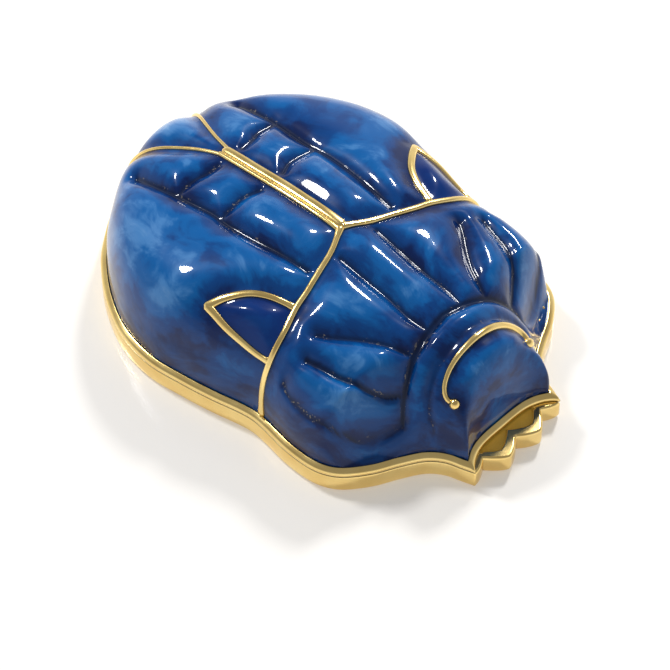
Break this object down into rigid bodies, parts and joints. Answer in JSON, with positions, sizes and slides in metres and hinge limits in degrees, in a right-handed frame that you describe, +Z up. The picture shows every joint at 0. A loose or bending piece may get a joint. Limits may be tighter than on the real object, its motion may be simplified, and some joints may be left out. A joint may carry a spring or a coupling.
{
  "type": "enamelled scarab amulet box",
  "caption": "Domed scarab beetle amulet: hollow gold base tray and lift-off gold cover with carved blue enamel fields in wire-edged cells.",
  "frame": {"origin": "middle of the bounding box, on the underside", "axes": "+Z up, the head points to -Y and the rear to +Y, X runs across the wing cases"},
  "size_m": [0.0424, 0.06, 0.0171],
  "materials": {
    "gold": "polished gilding, softly satin on the band",
    "blue enamel": "glossy translucent cobalt enamel, milky in places, dark in the carved lines"
  },
  "bodies": {
    "root": {"base": "gold", "cover": "gold", "enamel_left_wing": "blue enamel", "enamel_right_wing": "blue enamel", "enamel_left_shoulder": "blue enamel", "enamel_right_shoulder": "blue enamel", "enamel_tail": "blue enamel", "enamel_thorax_head": "blue enamel"}
  },
  "joints": []
}
